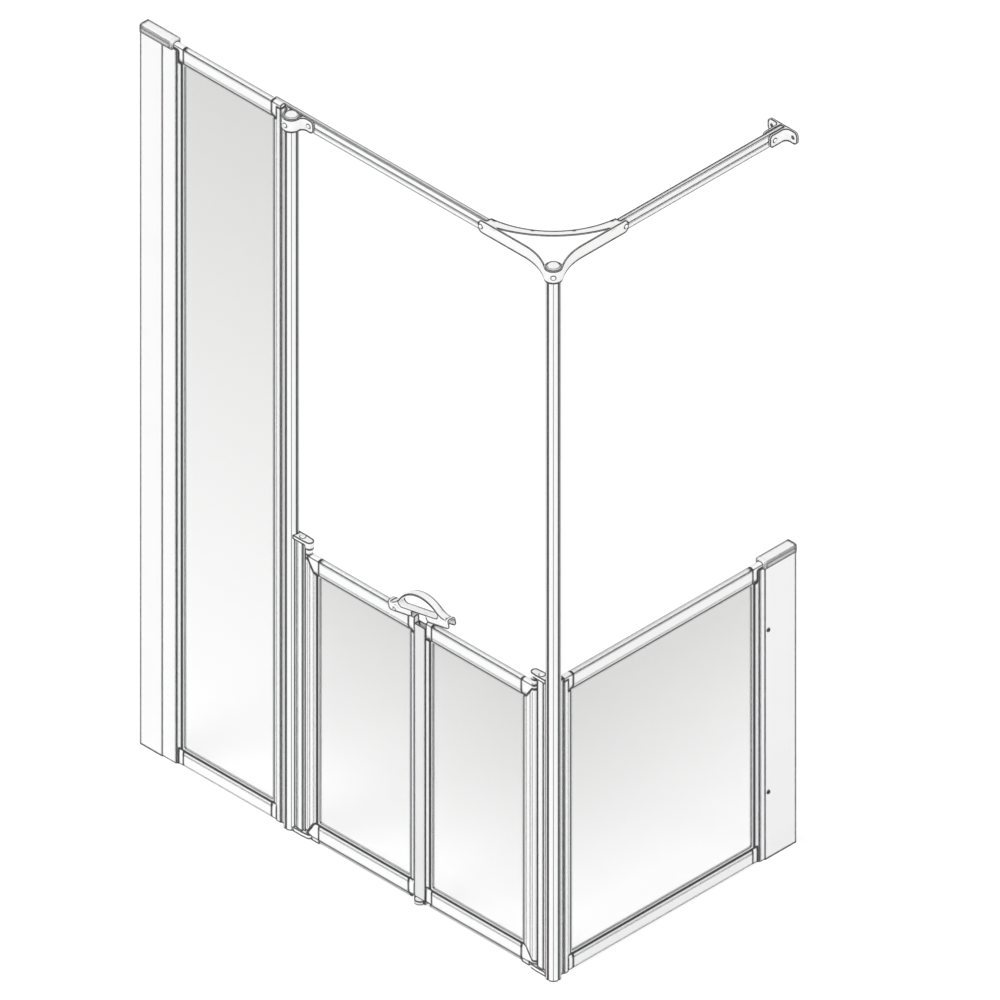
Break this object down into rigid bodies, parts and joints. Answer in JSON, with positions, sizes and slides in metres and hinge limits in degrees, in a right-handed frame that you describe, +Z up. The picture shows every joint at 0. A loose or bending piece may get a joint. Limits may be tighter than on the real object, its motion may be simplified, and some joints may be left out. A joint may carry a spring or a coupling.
{
  "type": "carer shower screen",
  "caption": "Corner half-height carer shower screen with a tall fixed panel, low side panel, two low swing doors with a lift latch and curtain rails on the posts",
  "frame": {"origin": "Centre of the corner post's foot, on the tray.", "axes": "+Z is up along the posts. +X points away from the left wall along the front leg. +Y points along the side leg to the other wall."},
  "size_m": [1.2068, 0.7135, 1.8095],
  "materials": {
    "white_coated_aluminium": "satin",
    "white_plastic": "satin",
    "seal_rubber": "matte",
    "clear_glass": "clear",
    "steel": "satin"
  },
  "bodies": {
    "frame": {"bottom_pivot_brackets": "white_plastic", "channel_screws": "steel", "corner_bracket": "white_plastic", "corner_post": "white_coated_aluminium", "front_curtain_rail": "white_coated_aluminium", "hinge_seals": "seal_rubber", "left_jamb": "white_coated_aluminium", "left_top_pivot_bracket": "white_plastic", "mid_post": "white_coated_aluminium", "pivot_pins": "steel", "pivot_screws": "steel", "post_caps": "white_plastic", "post_clip": "white_plastic", "post_foot_plugs": "white_plastic", "post_interlocks": "white_coated_aluminium", "rail_screws": "steel", "rail_wall_bracket": "white_plastic", "right_jamb": "white_coated_aluminium", "right_top_pivot_bracket": "white_plastic", "side_bottom_rail": "white_coated_aluminium", "side_corner_caps": "white_plastic", "side_curtain_rail": "white_coated_aluminium", "side_glass": "clear_glass", "side_glazing_gasket": "seal_rubber", "side_post_stile": "white_coated_aluminium", "side_top_rail": "white_coated_aluminium", "side_wall_cap": "white_plastic", "side_wall_channel": "white_coated_aluminium", "side_wall_stile": "white_coated_aluminium", "tall_bottom_rail": "white_coated_aluminium", "tall_corner_caps": "white_plastic", "tall_glass": "clear_glass", "tall_glazing_gasket": "seal_rubber", "tall_post_stile": "white_coated_aluminium", "tall_top_rail": "white_coated_aluminium", "tall_wall_cap": "white_plastic", "tall_wall_channel": "white_coated_aluminium", "tall_wall_stile": "white_coated_aluminium"},
    "left_door": {"left_hinge_stile": "white_coated_aluminium", "left_meeting_stile": "white_coated_aluminium", "left_top_rail": "white_coated_aluminium", "left_bottom_rail": "white_coated_aluminium", "left_corner_caps": "white_plastic", "left_glass": "clear_glass", "left_glazing_gasket": "seal_rubber", "left_sweep_seal": "seal_rubber", "left_pivot_bushes": "white_plastic", "meeting_seal": "seal_rubber", "meeting_seal_foot": "white_plastic", "latch_pin": "steel"},
    "right_door": {"right_hinge_stile": "white_coated_aluminium", "right_meeting_stile": "white_coated_aluminium", "right_top_rail": "white_coated_aluminium", "right_bottom_rail": "white_coated_aluminium", "right_corner_caps": "white_plastic", "right_glass": "clear_glass", "right_glazing_gasket": "seal_rubber", "right_sweep_seal": "seal_rubber", "right_pivot_bushes": "white_plastic"},
    "latch": {"latch_handle": "white_plastic"}
  },
  "joints": [
    {"name": "left_door_swing", "type": "hinge", "parent": "frame", "child": "left_door", "pos_m": [-0.7075, 0, 0], "axis": [0, 0, 1], "range_deg": [-90, 90]},
    {"name": "right_door_swing", "type": "hinge", "parent": "frame", "child": "right_door", "pos_m": [-0.0525, 0, 0], "axis": [0, 0, 1], "range_deg": [-90, 90]},
    {"name": "handle_lift", "type": "hinge", "parent": "left_door", "child": "latch", "pos_m": [-0.452, 0, 0.705], "axis": [0, -1, 0], "range_deg": [-11.4, 3]}
  ]
}
